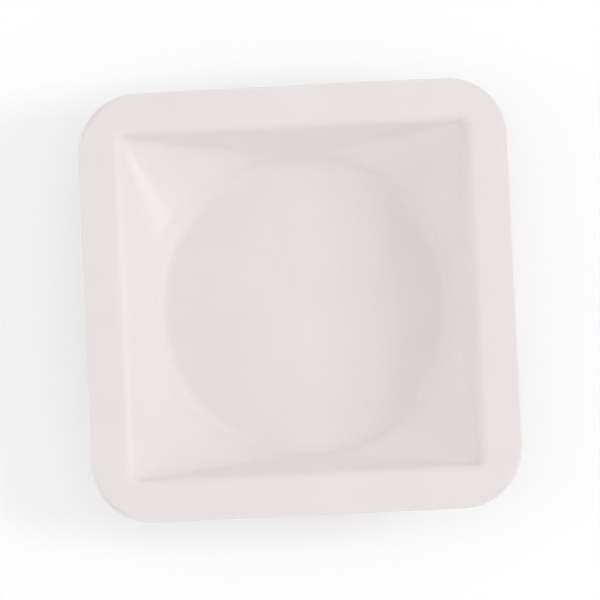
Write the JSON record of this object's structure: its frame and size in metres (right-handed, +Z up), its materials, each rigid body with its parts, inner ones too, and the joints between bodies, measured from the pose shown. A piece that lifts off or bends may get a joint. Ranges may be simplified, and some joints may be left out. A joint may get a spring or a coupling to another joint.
{
  "type": "weighing boat",
  "caption": "Small square dish of thin white plastic with a flat rim, rounded corners and a round flat floor, for weighing out powders and samples.",
  "frame": {"origin": "centre of the floor's underside, on the surface the boat stands on", "axes": "+Z up out of the open mouth; X and Y along the sides of the square"},
  "size_m": [0.041, 0.041, 0.008],
  "materials": {
    "polystyrene": "semi-matt, faintly translucent off-white polystyrene"
  },
  "bodies": {
    "root": {"boat": "polystyrene"}
  },
  "joints": []
}
